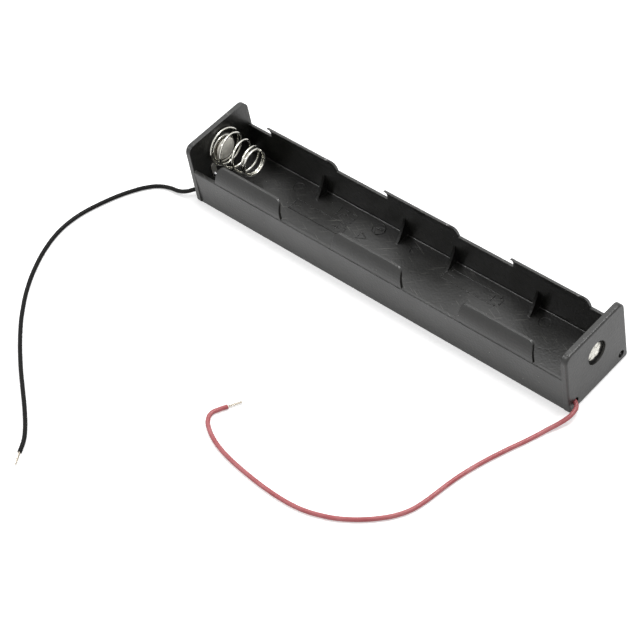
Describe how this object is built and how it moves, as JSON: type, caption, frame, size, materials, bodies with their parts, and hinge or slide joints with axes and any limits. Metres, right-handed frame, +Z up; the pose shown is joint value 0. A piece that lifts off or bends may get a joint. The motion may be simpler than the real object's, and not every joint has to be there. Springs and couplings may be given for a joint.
{
  "type": "three-cell in-line battery holder",
  "caption": "Long open tray that clips over round cells laid end to end, with a coil spring contact, a riveted button contact and two wire leads.",
  "frame": {"origin": "on the ground under the middle of the tray", "axes": "+X along the tray from the spring end to the button end, +Y away from the side the leads leave on, +Z up out of the open top"},
  "size_m": [0.1934, 0.1457, 0.0249],
  "materials": {
    "moulding": "satin, faintly grained injection moulding",
    "spring_wire": "bright nickel-plated spring wire",
    "plated_metal": "bright nickel plate",
    "solder": "smooth solder",
    "black_insulation": "soft satin insulation",
    "red_insulation": "soft satin insulation",
    "tinned_wire": "tinned strands"
  },
  "bodies": {
    "root": {"tray": "moulding", "contact_spring": "spring_wire", "spring_rivet": "plated_metal", "spring_tag": "plated_metal", "spring_solder": "solder", "button_rivet": "plated_metal", "button_tag": "plated_metal", "button_solder": "solder", "black_lead": "black_insulation", "black_lead_tip": "tinned_wire", "red_lead": "red_insulation", "red_lead_tip": "tinned_wire"}
  },
  "joints": []
}
